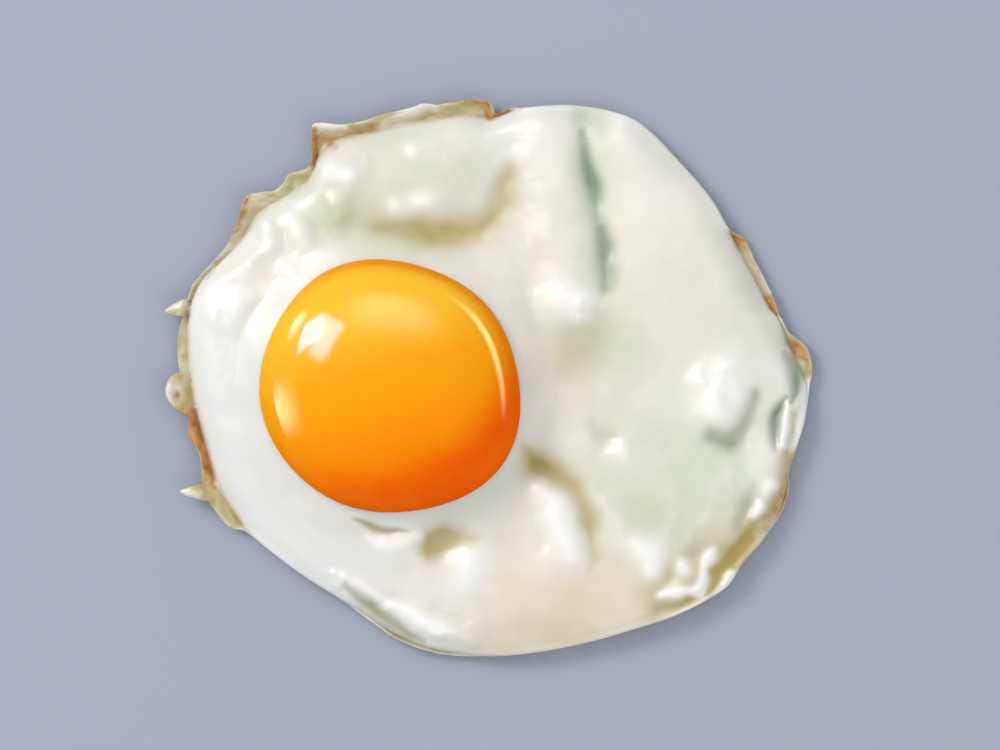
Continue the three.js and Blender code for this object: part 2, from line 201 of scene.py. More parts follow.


# Relief of the thick white, with the painted shade in its hollows and the painted highlights on its crests
# that go with it. Paths are in millimetres from the middle of the yolk.
FOLDS = [
    # the broad smooth swell on the right, and the hollow between it and the yolk
    Fold(1.5, 15, [(42, 26), (46, 14)]),
    Fold(0.7, 10, [(44, -14)]),
    Fold(-0.8, 4.2, [(24.4, -1), (24.8, -12)]),
    # the pillow above the yolk, and the valley that bounds it below and to the right
    Fold(1.3, 6.5, [(-6, 33.5), (8, 33)]),
    Fold(
        -0.7, 3.4,
        [
            (-16, 25.5, 0.5), (-6, 25.6, 0.7), (4, 24.8, 0.9), (11, 24.9, 0.8), (15.6, 27.6, 0.7),
            (18, 33, 0.6),
        ],
        khaki=0.3,
    ),
    Fold(-0.6, 2.8, [(-6, 25.6, 0.7), (4, 24.8), (8.6, 24.6)]),
    Fold(
        -0.2, 1.9,
        [(-2, 25.8, 0.6), (4, 25, 0.9), (11.4, 24.6, 1.1), (15, 25.8, 1.1), (17.4, 29.6, 0.9)],
        khaki=0.6,
    ),
    # the strap beside it, which ends in a broad nose, with a soft valley on its left
    Fold(
        1.2, 3.9,
        [(24, 46, 0.6), (24.6, 41), (25.8, 33), (26.6, 25), (27.6, 17, 0.85)],
        pale=0.15, edge=2.3,
    ),
    Fold(1.2, 2.8, [(27.2, 13.8), (29.6, 13.6, 0.9)], pale=0.9),
    Fold(0.6, 1.7, [(30, 13)], pale=0.7),
    Fold(-0.25, 2.4, [(21.2, 20, 0.7), (21.8, 13)]),
    # the deep crease between the strap and the swell, in two lobes, and the hollow at its foot
    Fold(-0.75, 3.0, [(30, 43, 0.2), (31, 37, 0.8), (33.2, 27), (34.4, 20, 0.7), (33.8, 14, 0.2)]),
    Fold(
        -0.3, 1.5,
        [(30.6, 40, 0.4), (31.3, 36, 0.8), (32.5, 31.6), (33.4, 26, 0.8), (34.4, 21, 0.8), (34.3, 17, 0.3)],
    ),
    Fold(0.4, 1.8, [(37, 43.4), (37.2, 40.2, 0.8)], pale=0.7),
    Fold(-0.3, 4.6, [(30.6, 9.4)], khaki=0.3, green=0.2),
    # the knob on the right, with smaller lumps on it and a crescent under it
    Fold(1.2, 4.4, [(52.6, 1), (52.6, -2.4)], pale=0.75),
    Fold(0.6, 1.2, [(49, 1.2)], pale=0.5),
    Fold(0.6, 1.7, [(54, 3.6)], pale=0.4),
    Fold(0.6, 1.6, [(51.8, -1.2)], pale=0.4),
    Fold(0.6, 1.8, [(52.2, -4.2)], pale=0.4),
    Fold(0.5, 1.5, [(55, -0.8)], pale=0.4),
    Fold(
        -0.7, 1.5,
        [(51.6, -7.5, 0.8), (54.4, -7.9), (56.4, -6.7), (57.7, -4.4, 0.9), (58.3, -1, 0.6)],
        green=1.3, khaki=0.2,
    ),
    # the folds along the right-hand edge
    Fold(0.3, 2.4, [(59.6, -4, 0.6), (59.8, -8), (59.4, -12), (58.2, -16, 0.7)], pale=0.4),
    Fold(-1.0, 1.0, [(63.2, -1.6, 0.5), (62, -4.6, 1.1), (61.7, -7.6), (61.6, -10, 0.5)], green=1.0),
    Fold(0.5, 0.8, [(63.6, -2.6, 0.6), (63.6, -5.6), (63.1, -9.4, 0.8)], pale=1.0),
    Fold(-0.8, 0.7, [(64.6, -4.4, 0.7), (64.2, -7, 1), (63.4, -10.4, 0.7)], khaki=0.5, green=0.3),
    Fold(-1.2, 0.9, [(63, 5.4, 0.4), (64.8, 3, 0.9), (65, 0.4, 1), (64.4, -2.4, 0.5)], green=0.9),
    Fold(-0.6, 0.7, [(62.6, 9.6, 0.5), (63.4, 7, 1)], green=0.4),
    Fold(0.55, 0.9, [(60.9, -15.8), (60.3, -17, 0.7)], pale=0.9),
    Fold(0.55, 0.9, [(59, -18.9), (58.2, -20.4, 0.7)], pale=0.9),
    Fold(-0.7, 1.4, [(58.2, -16, 0.6), (57, -18.6), (55.8, -22, 0.7)], green=0.4, khaki=0.2),
    # the pocket along the lower right edge, darkened by painted shade, the bright ridges inside it and the
    # pale lips outside it, both with painted highlights
    Fold(
        -1.2, 1.8,
        [
            (60, -20.6, 0.5), (57.5, -23.8, 0.9), (53.6, -28.2), (51.2, -31.4), (47.8, -34, 0.9),
            (42.8, -35.2, 0.6),
        ],
        khaki=1.2,
    ),
    Fold(
        0.42, 0.8,
        [(51.8, -25.4, 0.5), (51.1, -27.2), (50.5, -29, 0.8), (50.1, -30.6), (49.2, -32.2)],
        pale=1.2,
    ),
    Fold(0.4, 0.85, [(48.8, -32.3), (46.8, -32.3, 0.8), (45.2, -32.5, 1.1), (43.4, -32.7, 0.8)], pale=1.2),
    Fold(0.7, 1.3, [(46.7, -28.8)], pale=1.0),
    Fold(-0.5, 1.5, [(43.6, -30.8), (48.6, -27.6)], khaki=0.5),
    Fold(0.8, 2.3, [(41.6, -26.8)], pale=0.8),
    Fold(0.4, 1.5, [(39.4, -25)], pale=0.5),
    Fold(0.5, 1.2, [(42, -29.4)], pale=0.6),
    Fold(-0.3, 1.1, [(44.6, -25.6, 0.6), (44.4, -28.8)], khaki=0.5),
    Fold(0.5, 0.8, [(54.8, -29.6, 0.8), (53.4, -31.6, 0.8)], pale=0.9),
    Fold(0.5, 0.8, [(50.6, -34, 0.8), (47.8, -35.6), (44.8, -36.6, 0.6)], pale=0.8),
    # the winding wrinkle below and to the right of the yolk, with a lump and ridges on its left
    Fold(
        -1.0, 1.8,
        [
            (21.4, -9.6, 0.5), (23.6, -12.8, 1.1), (26.2, -14.4), (28.6, -15.8), (29.9, -18.8), (31.4, -22),
            (32.4, -24.8, 0.6), (32.4, -27, 0.15),
        ],
        khaki=1.0, edge=1.9,
    ),
    Fold(
        0.8, 2.0,
        [(24.2, -16.6, 0.9), (26.6, -17.6), (27.5, -20), (28.4, -23.4), (28.8, -27, 0.8)],
        pale=0.8,
    ),
    Fold(0.8, 3.6, [(25.6, -21), (26.2, -27)], pale=0.4),
    Fold(-0.4, 1.2, [(23.4, -20), (24.6, -25)]),
    Fold(0.5, 2.0, [(34, -18.4, 0.7), (36, -22), (37, -25.4, 0.8)], pale=0.4),
    Fold(0.7, 2.2, [(36.9, -10.8)], pale=0.6),
    Fold(-0.5, 1.6, [(32.4, -6.6, 0.7), (34.6, -8.4)], khaki=0.25),
    # the burst bubble under the yolk: a bowl with painted shade on its upper-left wall and a bright mound
    # with a painted highlight on its far side
    Fold(0.7, 5.8, [(9.8, -26.6)]),
    Fold(-1.2, 3.2, [(8.6, -25.2)]),
    Fold(1.15, 3.0, [(12.8, -28.9)], pale=1.2),
    Fold(
        0, 1.6,
        [(5.8, -26.4, 0.7), (6.5, -24.9), (8.4, -24), (10.8, -23.8, 0.8), (12.8, -24.4, 0.6)],
        khaki=1.0,
    ),
    Fold(0, 2.4, [(8.2, -25.4)], khaki=0.6),
    # the little fold beside it
    Fold(
        -0.6, 0.6,
        [(-5.4, -20.9, 0.5), (-2.4, -22.2, 0.9), (0.2, -23.1), (2.9, -23.1, 0.5)],
        khaki=0.6, green=0.5,
    ),
    Fold(0.8, 1.3, [(-3, -24, 0.6), (-1.2, -25), (1.4, -25.3), (4.2, -24.1, 0.8)], pale=0.9),
    # the folded lip along the lower left edge, and the low ground behind it
    Fold(-0.9, 0.8, [(-7, -31.4, 0.6), (-4, -34.2), (-0.6, -37.4), (4.8, -40.9, 0.6)], green=0.6, khaki=0.4),
    Fold(0.7, 1.2, [(-9, -29.8, 0.6), (-4.6, -31.6), (-1.6, -33.6, 0.8)], pale=0.6),
    Fold(1.1, 1.5, [(0.2, -35, 0.8), (2.6, -35.8), (4.8, -36.2, 0.8)], pale=1.0),
    Fold(1.1, 1.7, [(5, -37.6, 0.8), (7.4, -38.4), (9.8, -39, 0.6)], pale=1.0),
    Fold(-0.6, 0.9, [(0, -32.8, 0.5), (4, -34.6), (8, -36), (12, -37.2, 0.5)]),
    Fold(-0.6, 2.8, [(17, -39.2), (29, -39.4)], khaki=0.2),
    # cobbles on the upper left, and small ones on the pillow
    Fold(0.9, 1.9, [(-14.4, 25)], pale=0.8),
    Fold(0.8, 1.8, [(-20.4, 26.4)], pale=0.5),
    Fold(0.8, 1.8, [(-16, 18.6)], pale=0.7),
    Fold(0.9, 2.0, [(-22.4, 19.8)], pale=0.5),
    Fold(0.8, 2.0, [(-24.4, 12.6)], pale=0.5),
    Fold(0.9, 2.0, [(-9.6, 34.4)], pale=0.8),
    Fold(0.9, 1.6, [(-6.4, 33.8)], pale=0.7),
    Fold(0.55, 1.5, [(0.9, 29)], pale=0.7),
    Fold(0.6, 1.5, [(4.4, 29.3), (5.6, 29.4)], pale=0.8),
    Fold(0.3, 1.4, [(3.8, 37.8)], pale=0.6),
]

# Relief of the thin crisp rim, both of its sides alike
RIM_FOLDS = [
    Fold(-1.6, 0.9, [(-34, -1.1)]),
    Fold(0.7, 0.8, [(-35.6, 1.2, 0.8), (-35.8, -1.2), (-34.6, -3, 0.8)]),
    Fold(0.9, 0.7, [(-1, 42.6, 0.5), (2.4, 43.8), (5.8, 45.2), (7.4, 44.6, 0.6)]),
    Fold(-0.7, 0.6, [(-3, 41.9, 0.6), (3, 42.7), (7.4, 43.7), (11, 44.4, 0.6)]),
    Fold(0.8, 0.7, [(9, 45, 0.6), (12.4, 46), (14.4, 46.1)]),
    Fold(-0.7, 0.6, [(14.6, 44.6, 0.8), (15.8, 43.4)]),
    Fold(0.7, 0.6, [(-12.2, 41.6, 0.8), (-8, 41.7), (-4, 42.2, 0.6)]),
    Fold(0.6, 0.6, [(-17.6, 32.8, 0.8), (-16.4, 34)]),
    Fold(0.7, 0.6, [(-24, 29.2, 0.7), (-24.8, 26.4), (-25.6, 24, 0.6)]),
    Fold(0.6, 0.6, [(-31.8, -5, 0.7), (-31.4, -7.8), (-30.4, -11, 0.7)]),
    Fold(-0.5, 0.6, [(-30.6, -6, 0.7), (-29.6, -9.6), (-28.6, -13.6, 0.7)]),
    Fold(0.6, 0.7, [(-27.6, -19.6, 0.7), (-25.6, -22, 0.7)]),
]

# Crowds of small domes, placed at random once: seed, number, size, lift, and the path and width they fill.
# Each dome has its own share of that size and lift.
DOME_SHARES = (0.6, 1.4)
CROWDS = [
    (5, 42, 1.4, 0.27, [(-8, 30), (-17, 27), (-24, 20), (-28, 11)], 5.5),
    (6, 16, 0.8, 0.16, [(50, 3), (54, -3)], 4.0),
    (7, 24, 0.9, 0.16, [(56, -10), (54, -20), (46, -26)], 4.5),
    (8, 12, 0.8, 0.16, [(2, -36), (12, -38)], 2.4),
    (9, 40, 0.6, 0.19, [(-9, -30.6), (-2, -34.6), (5, -38.6), (12, -39.6)], 1.8),
]

PAINTED_LIGHT_SPREAD = 1.2  # a fold paints its shade and highlight over the ground so many times as widely as it lifts it
RIM_BLEND = 0.4  # how far the rim's colour fades to either side of its border

# Tints and painted light: kind, strength, width, path. Cool, sage and warm tint the ground, cool and sage
# partly as painted shade, such as the yolk's shadow; green and khaki paint shade in creases and hollows, with
# some of the white's own olive tint; pale paints highlights; and toast is the rim's brown.
TINTS_AND_PAINTED_LIGHT = [
    ("cool", 0.7, 7, [(-27, 8), (-26, -8), (-18, -22), (-6, -31)]),
    # the shadow that the yolk casts on the white beside it, painted
    ("cool", 0.8, 3.4, [(2, -22.6), (12, -20), (19, -14)]),
    ("sage", 0.6, 2.2, [(30.6, 43.4), (33, 41.6)]),
    ("green", 0.3, 1.5, [(30.2, 43.4), (30.8, 41)]),
    ("khaki", 0.14, 5, [(-10, 37), (-2, 38)]),
    ("sage", 0.3, 7, [(2, 34), (12, 33)]),
    ("khaki", 0.2, 4.4, [(-8, 30), (0, 30.4)]),
    ("cool", 0.6, 3.4, [(16.4, 40), (18, 34)]),
    ("sage", 0.3, 9, [(56, 4), (52, 18)]),
    ("sage", 0.6, 13, [(48, -10), (42, -18)]),
    ("sage", 0.8, 4.4, [(-14, 27), (-6, 27), (4, 26)]),
    ("sage", 0.6, 2.4, [(-9.4, 33.4), (-10, 31)]),
    ("sage", 0.7, 6, [(34, 8), (30, 12)]),
    ("sage", 0.8, 3.2, [(52, -9), (56, -12)]),
    ("sage", 1.0, 2.8, [(31.6, 36), (33.6, 26), (34.4, 16)]),
    # more of the yolk's painted shadow on the white
    ("sage", 0.4, 2.6, [(6, -21.6), (12, -19.8), (18, -14)]),
    ("green", 0.95, 1.3, [(30.6, 41, 0.7), (31.4, 36, 0.9), (32.6, 31.6, 1.1), (32.7, 28.4, 0.6)]),
    ("green", 1.0, 1.6, [(33.7, 25.4, 0.8), (34.5, 21.8, 1.1), (34.8, 19.4, 1.1), (34.5, 16.2, 0.8)]),
    ("green", 0.45, 1.4, [(32.7, 28.4), (33.5, 25.8)]),
    ("green", 0.25, 2, [(-17.6, 24), (-20, 21)]),
    ("khaki", 0.12, 7, [(-8, 32), (10, 34)]),
    ("khaki", 0.8, 2.4, [(9, 24.6, 0.8), (12, 24.8), (14.9, 26), (17.2, 28.2), (18.4, 31.4), (19, 35, 0.6)]),
    ("khaki", 0.55, 1.6, [(32, -23), (32.8, -26), (31.8, -29, 0.6)]),
    ("khaki", 0.28, 5, [(31, 10), (27, 4)]),
    ("khaki", 0.3, 4, [(16, -41), (30, -39.6)]),
    ("khaki", 0.6, 5, [(44, -33), (54, -26)]),
    ("khaki", 0.7, 2.4, [(58.6, -22.4), (53.4, -28.4), (48.6, -33.4), (42.4, -35.2)]),
    ("khaki", 0.15, 9, [(36, -22), (30, -34)]),
    # painted shade on the rim's lower left side, away from the lamps
    ("khaki", 0.5, 1.3, [(-29.4, -15.4), (-27.4, -19.4), (-24.8, -22.2, 0.7)]),
    ("warm", 0.6, 7, [(20, -33), (36, -35)]),
    ("warm", 0.12, 8, [(25, 36), (27, 6), (34, 0)]),
    ("warm", 0.25, 9, [(40, 24), (46, 12)]),
    ("warm", 0.25, 5, [(22, -14), (20, -26)]),
    # browned spots and lines of the rim
    (
        "toast", 0.9, 0.6,
        [(13.6, 46.2, 1.4), (15.2, 45.2, 1.2), (15.8, 43.3), (17.4, 43.8), (19.2, 44.6, 0.6)],
    ),
    ("toast", 0.7, 0.9, [(12.4, 46), (15.2, 46.2)]),
    ("toast", 1.0, 1.0, [(-12.4, 41.2, 0.8), (-12.4, 39.4), (-12.2, 37.4, 0.9), (-12.8, 35.9, 0.7)]),
    ("toast", 0.7, 1.4, [(-10.8, 39.8), (-9, 38.6, 0.7)]),
    ("toast", 0.5, 0.9, [(-11, 39.6), (-8.4, 40.1), (-5.6, 40.6), (-2, 41.4, 0.8), (1, 41.7, 0.5)]),
    ("toast", 0.3, 0.7, [(1, 41.7, 0.6), (6.3, 42.8), (11.1, 43.8, 0.7)]),
    ("toast", 1.0, 1.3, [(-22.8, 31, 0.6), (-24, 29.4), (-24.9, 26.6), (-26, 23.8, 0.7)]),
    ("toast", 0.35, 0.5, [(-18, 31.4), (-20.4, 30), (-22.6, 27.4, 0.7), (-24.6, 24, 0.6)]),
    ("toast", 0.35, 0.5, [(-26, 22, 0.7), (-28.6, 18.4), (-30, 16.4, 0.6)]),
    ("toast", 0.95, 1.0, [(-31.8, -4), (-30.8, -8), (-29.5, -12.2), (-28.3, -16, 0.7)]),
    ("toast", 1.0, 1.7, [(-32.4, -4.8), (-31.9, -7.6), (-31, -10.4, 0.6)]),
    ("toast", 0.6, 0.8, [(-34.1, -1.2)]),
    ("toast", 0.3, 1.0, [(-27, -19.8), (-25.4, -21.8)]),
    ("toast", 0.45, 1.4, [(-32.9, 2)]),
    ("toast", 0.35, 1.2, [(-34.6, -3), (-33.2, -2.6)]),
    ("toast", 0.75, 0.7, [(-35.6, -3.2, 0.8), (-34, -4), (-32.4, -3.8)]),
    ("toast", 0.35, 0.6, [(-27.2, -17.3), (-25.2, -20.2), (-23.6, -22.4, 0.7)]),
    ("toast", 0.8, 1.0, [(54.6, 24.8, 0.8), (56.2, 23.4), (56.8, 21.8, 0.7)]),
    ("toast", 0.35, 0.8, [(57.2, 20.8), (58.8, 18), (60.1, 15.3)]),
    ("pale", 0.35, 0.8, [(57.6, 20.6), (59.2, 17.6), (60.2, 15.8)]),
    ("green", 0.3, 0.8, [(57.8, 20.4), (59.2, 17.4), (60, 15.6)]),
    ("toast", 0.9, 1.0, [(60.8, 14), (61.9, 12, 0.8)]),
    ("toast", 0.95, 0.9, [(64.4, 7.5, 0.7), (65.4, 6, 1.1), (66.2, 4.6, 0.7)]),
    ("toast", 0.6, 0.6, [(66.4, 4.8, 0.8), (67.4, 2.4, 0.7)]),
    ("toast", 0.45, 0.9, [(64.2, -11), (63.6, -14.2), (62.6, -18, 1.2), (60.2, -22), (58, -24.6, 0.7)]),
    ("khaki", 0.75, 1.4, [(63.6, -11), (63, -14.2), (61.8, -18, 1.2), (59.4, -21.6), (57.2, -24.2, 0.7)]),
    # painted highlights on tips, crests, lips and bumps, partly a whiter tone there
    ("pale", 0.3, 8, [(40, 22), (42, 26)]),
    ("pale", 0.4, 4, [(-15, 27), (-22, 21), (-26, 13)]),
    ("pale", 0.3, 0.9, [(-36.4, 12.2), (-34.6, 13), (-33, 13.4, 0.7)]),
    ("pale", 0.8, 1.8, [(-35.8, -0.6)]),
    ("pale", 0.5, 0.7, [(-1, 42.2), (2.4, 43)]),
    ("pale", 0.8, 0.8, [(-33.6, -16.8), (-30.8, -17.2, 0.8)]),
    ("pale", 0.9, 0.7, [(-35.4, 0.2), (-35.2, -1.4, 0.8)]),
    ("pale", 0.9, 0.5, [(-12.4, 42.1), (-10, 41.9), (-7.3, 41.7)]),
    ("pale", 0.9, 0.9, [(0.4, 43, 0.5), (3.4, 44), (5.8, 45.2), (7.6, 44.4, 0.6)]),
    ("pale", 0.6, 0.5, [(-23.4, 29, 0.6), (-23.8, 27), (-24.2, 25.2, 0.6)]),
    ("pale", 0.6, 0.5, [(-17, 33.6, 0.7), (-18.2, 31.6)]),
    ("pale", 0.8, 0.8, [(55.6, -29.4, 0.6), (54.4, -31.2), (51.4, -34.2), (47.8, -36.4), (44, -37.6)]),
    ("pale", 0.8, 0.6, [(66.6, 1), (66.4, -3), (65.6, -6), (65.2, -9)]),
]

# ---------------------------------------------------------------- small tools

NOISE_GRID = 256
PATH_STEPS = 8  # points of the curve for each stretch of a path
FADE_LIMIT = 3  # beyond so many widths a path has no effect


def colour(code):
    """A colour as the shaders want it, from its usual hex code."""
    parts = [int(code[i:i + 2], 16) / 255 for i in (1, 3, 5)]
    return (*[p / 12.92 if p <= 0.04045 else ((p + 0.055) / 1.055) ** 2.4 for p in parts], 1.0)


def smoothstep(x, low, high):
    t = np.clip((x - low) / (high - low), 0, 1)
    return t * t * (3 - 2 * t)


def around(knots):
    """A smooth function of direction through (degrees, value) knots, going round and round."""
    degrees, values = np.array(knots, float).T
    degrees = np.concatenate([degrees[-2:] - 360, degrees, degrees[:2] + 360])
    values = np.concatenate([values[-2:], values, values[:2]])
    slopes = np.zeros(len(values))
    slopes[1:-1] = (values[2:] - values[:-2]) / (degrees[2:] - degrees[:-2])

    def value(direction):
        wrapped = np.mod(direction, 360)
        i = np.searchsorted(degrees, wrapped, side="right") - 1
        span = degrees[i + 1] - degrees[i]
        t = (wrapped - degrees[i]) / span
        ease = t * t * (3 - 2 * t)
        bend = slopes[i] * t * (1 - t) ** 2 - slopes[i + 1] * t * t * (1 - t)
        return values[i] + (values[i + 1] - values[i]) * ease + span * bend

    return value


def noise(x, y, size, seed):
    """Smooth noise from -1 to 1 with bumps of about that size, the same on every run."""
    grid = np.random.default_rng(seed).uniform(-1, 1, (NOISE_GRID, NOISE_GRID))
    middle = (NOISE_GRID + 1) / 2
    u, v = x / size + middle, y / size + middle
    i, j = np.floor(u).astype(int), np.floor(v).astype(int)
    s, t = smoothstep(u - i, 0, 1), smoothstep(v - j, 0, 1)
    left, right, low, high = i % NOISE_GRID, (i + 1) % NOISE_GRID, j % NOISE_GRID, (j + 1) % NOISE_GRID
    lower = grid[left, low] * (1 - s) + grid[right, low] * s
    upper = grid[left, high] * (1 - s) + grid[right, high] * s
    return lower * (1 - t) + upper * t


def layered(x, y, layers):
    """The sum of some layers of noise."""
    return sum(strength * noise(x, y, size, seed) for strength, size, seed in layers)


def smooth_path(path):
    """The points (x, y, share) of a smooth curve through a path."""
    points = np.array([(*point, 1.0)[:3] for point in path])
    if len(points) == 1:
        return points
    ends = np.concatenate([[2 * points[0] - points[1]], points, [2 * points[-1] - points[-2]]])
    t = np.arange(PATH_STEPS)[:, None] / PATH_STEPS
    curve = []
    for before, start, end, after in zip(ends, ends[1:], ends[2:], ends[3:]):
        bend = 2 * before - 5 * start + 4 * end - after
        turn = 3 * start - before - 3 * end + after
        curve.append(start + 0.5 * t * (end - before + t * (bend + t * turn)))
    return np.concatenate([*curve, points[-1:]])


def near(path, width, x, y, edge=2.0):
    """1 on a path, fading to 0 over a width, where the path's shares thin and weaken it."""
    curve = smooth_path(path)
    low, high = curve[:, :2].min(0) - FADE_LIMIT * width, curve[:, :2].max(0) + FADE_LIMIT * width
    inside = (x > low[0]) & (x < high[0]) & (y > low[1]) & (y < high[1])
    px, py = x[inside], y[inside]
    best = np.zeros(len(px))
    starts, stops = (curve, curve) if len(curve) == 1 else (curve[:-1], curve[1:])
    for (ax, ay, a_share), (bx, by, b_share) in zip(starts, stops):
        dx, dy = bx - ax, by - ay
        along = np.clip(((px - ax) * dx + (py - ay) * dy) / max(dx * dx + dy * dy, 1e-9), 0, 1)
        share = a_share + (b_share - a_share) * along
        apart = np.hypot(px - ax - along * dx, py - ay - along * dy) / (width * share)
        best = np.maximum(best, share * np.exp(-(apart**edge)))
    result = np.zeros(len(x))
    result[inside] = best
    return result


def waver(x, y):
    """The place, shifted a little, so that what is drawn there isn't quite straight or round."""
    return x + layered(x, y, SHIFT_X), y + layered(x, y, SHIFT_Y)


# ---------------------------------------------------------------- the yolk's shape


def yolk_radius(degrees):
    lobes = [size * np.cos(waves * np.radians(degrees - towards)) for waves, size, towards in YOLK_LOBES]
    return YOLK_RADIUS + sum(lobes)


def yolk_fullness(z):
    """Share of its full radius that the yolk has at a height."""
    reach = np.where(z > YOLK_WAIST, YOLK_TOP - YOLK_WAIST, YOLK_WAIST - YOLK_BASE)
    power = np.where(z > YOLK_WAIST, YOLK_CROWN_FULLNESS, YOLK_BELLY_FULLNESS)
    return np.maximum(0, 1 - (np.abs(z - YOLK_WAIST) / reach) ** power) ** (1 / power)


def closed_skin(rings, bottom, top):
    """Points and faces of a closed skin through rings of points, from the bottom middle to the top one.

    Neighbouring rings have the same number of points, or one has twice as many as the other.
    """
    starts = np.cumsum([0, *map(len, rings)])
    faces = []
    for first, second, low, high in zip(rings, rings[1:], starts, starts[1:]):
        count, finer = min(len(first), len(second)), len(first) > len(second)
        side = np.arange(count)
        after = (side + 1) % count
        if len(first) == len(second):
            faces += np.stack([low + side, low + after, high + after, high + side], -1).tolist()
            continue
        fine, coarse = (low, high) if finer else (high, low)
        corner, middle, next_corner = fine + 2 * side, fine + 2 * side + 1, fine + 2 * after
        fans = [
            (corner, middle, coarse + side),
            (middle, next_corner, coarse + after),
            (middle, coarse + after, coarse + side),
        ]
        for fan in fans:
            faces += np.stack(fan if finer else fan[::-1], -1).tolist()
    end = starts[-1]
    first, last = len(rings[0]), len(rings[-1])
    faces += [(end, (i + 1) % first, i) for i in range(first)]
    faces += [(end + 1, starts[-2] + i, starts[-2] + (i + 1) % last) for i in range(last)]
    return np.concatenate([*rings, [bottom, top]]), faces


def flat_ring(degrees, distance, z):
    angle = np.radians(degrees)
    return np.stack([distance * np.cos(angle), distance * np.sin(angle), np.full(len(angle), z)], -1)


def yolk_shape():
    directions = np.arange(YOLK_SIDES) * 360 / YOLK_SIDES
    climb = -np.cos(np.pi * (np.arange(YOLK_RINGS) + 1) / (YOLK_RINGS + 1))
    heights = YOLK_WAIST + climb * np.where(climb > 0, YOLK_TOP - YOLK_WAIST, YOLK_WAIST - YOLK_BASE)
    rings = [flat_ring(directions, yolk_radius(directions) * yolk_fullness(z), z) for z in heights]
    return closed_skin(rings, (0, 0, YOLK_BASE), (0, 0, YOLK_TOP))


# ---------------------------------------------------------------- the white's shape

outline_radius = around(OUTLINE)
body_edge = around(BODY_EDGE)
rim_lift = around(RIM_LIFT)
shoulder = around(SHOULDER)
detail = around(DETAIL)


def rim_width(degrees):
    return np.maximum(0, outline_radius(degrees) - body_edge(degrees))


def crispness(degrees):
    """1 where the rim is crisp, 0 where the white ends in a soft round edge."""
    return smoothstep(rim_width(degrees), SOFT_WIDTH, CRISP_WIDTH)


def edge_directions():
    """Directions spread along the edge, closer together where there is more detail."""
    fine = np.arange(0, 360, DIRECTION_STEP)
    reached = np.cumsum(outline_radius(fine) * detail(fine))
    return np.interp(np.arange(EDGE_SIDES) / EDGE_SIDES * reached[-1], reached, fine)


def tongue_shares(degrees):
    """Each tongue, how far from its middle each direction is, and how much of its reach it has there."""
    for tongue in TONGUES:
        turn = np.radians(np.mod(degrees - tongue.towards + 180, 360) - 180)
        apart = np.minimum(1, np.abs(turn) * outline_radius(degrees) / tongue.width)
        yield tongue, apart, tongue.reach * (1 - apart**tongue.power) ** tongue.bluntness


def edge_radius(degrees):
    """Distance of the white's edge, with its small bites but without the tongues."""
    plain = outline_radius(degrees)
    x, y = plain * np.cos(np.radians(degrees)), plain * np.sin(np.radians(degrees))
    bites = sum(strength * np.abs(noise(x, y, size, seed)) for strength, size, seed in BITES)
    return plain - crispness(degrees) * bites


def ring_radius(degrees, depth):
    """Distance of a ring that runs so far inside the edge."""
    reach = sum(reach for tongue, apart, reach in tongue_shares(degrees))
    return edge_radius(degrees) - depth + reach * np.maximum(0, 1 - depth / TONGUE_ROOT)


def place(degrees, distance):
    """Where a point of the white lies, with the tongues leaning to one side."""
    lean = sum(tongue.lean * (apart < 1) for tongue, apart, reach in tongue_shares(degrees))
    beyond = np.maximum(0, distance - outline_radius(degrees))
    turn = np.radians(degrees) + lean * beyond / distance
    return distance * np.cos(turn), distance * np.sin(turn)


def edge_thickness(degrees, distance):
    """The edge's full thickness, and what is left of it where it is rounded off at the very edge."""
    full = SOFT_EDGE + (CRISP_EDGE - SOFT_EDGE) * crispness(degrees)
    depth = np.clip((ring_radius(degrees, 0) - distance) / (0.5 * full), 0, 1)
    return full, full * np.sqrt(1 - (1 - depth) ** 2)


def streaks(degrees, depth):
    """Fine folds from -1 to 1 that run along the crisp rim, at a slant."""
    along = np.radians(degrees) * RIM_DISTANCE
    inwards = depth + STREAK_SLANT * along
    return sum(
        strength * noise(share * along, inwards, size, seed)
        for strength, share, size, seed in STREAKS
    )


def underside_height(degrees, distance, x, y):
    """Height of the underside, which is flat up to the root of the crisp rim and curls up from there."""
    depth = outline_radius(degrees) - distance
    share = np.clip(1 - depth / (rim_width(degrees) + RIM_ROOT), 0, MOST_CURL)
    ruffle = CRISP_LIFT + layered(x, y, RIM_RUFFLE) + STREAK_LIFT * streaks(degrees, depth)
    folds = sum(fold.lift * near(fold.path, fold.width, x, y) for fold in RIM_FOLDS)
    height = rim_lift(degrees) * share**2 + crispness(degrees) * share * (ruffle + folds)
    return np.maximum(0, height)


def domes():
    """The small domes of every crowd: place, size and lift."""
    for seed, count, size, lift, path, width in CROWDS:
        chance = np.random.default_rng(seed)
        curve = smooth_path(path)
        for point in curve[chance.integers(len(curve), size=count)]:
            x, y = point[:2] + chance.normal(0, width / 2, 2)
            share = chance.uniform(*DOME_SHARES)
            yield x, y, size * share, lift * share


def relief(x, y):
    """Height of the folds, cobbles and fine waves over the plain ground."""
    shifted = waver(x, y)
    height = sum(fold.lift * near(fold.path, fold.width, *shifted, fold.edge) for fold in FOLDS)
    for dome_x, dome_y, size, lift in domes():
        height += lift * near([(dome_x, dome_y)], size, *shifted)
    return height + layered(x, y, GROUND_WAVES)


